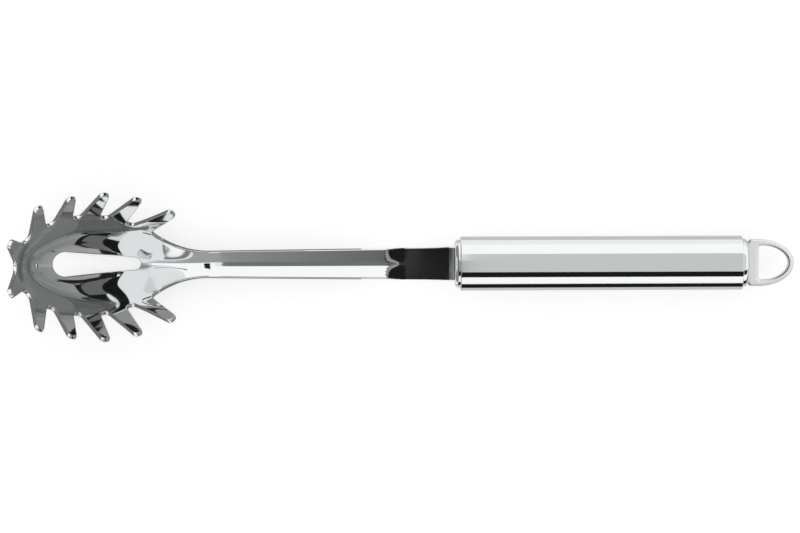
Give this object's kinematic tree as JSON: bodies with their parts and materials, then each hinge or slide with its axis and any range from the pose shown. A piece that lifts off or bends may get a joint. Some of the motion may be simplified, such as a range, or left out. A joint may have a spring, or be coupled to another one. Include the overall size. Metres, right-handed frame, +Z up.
{
  "type": "pasta server",
  "caption": "Stainless steel pasta server: a deep slotted bowl ringed by long rounded teeth, a slim stem, a round tube handle and a hanging loop.",
  "frame": {"origin": "on the surface that the tool lies on, under the centre of its bounding box", "axes": "+X from the bowl to the hanging loop, +Z up, out of the open side of the bowl"},
  "size_m": [0.3352, 0.064, 0.0567],
  "materials": {
    "polished_sheet": "mirror polished stainless steel sheet",
    "polished_cap": "polished stainless steel",
    "polished_tube": "polished stainless steel with a fine lengthwise grain",
    "satin_cast": "satin cast stainless steel"
  },
  "bodies": {
    "root": {"server_blade": "polished_sheet", "front_cap": "polished_cap", "handle_tube": "polished_tube", "rear_cap": "polished_cap", "hanging_loop": "satin_cast"}
  },
  "joints": []
}
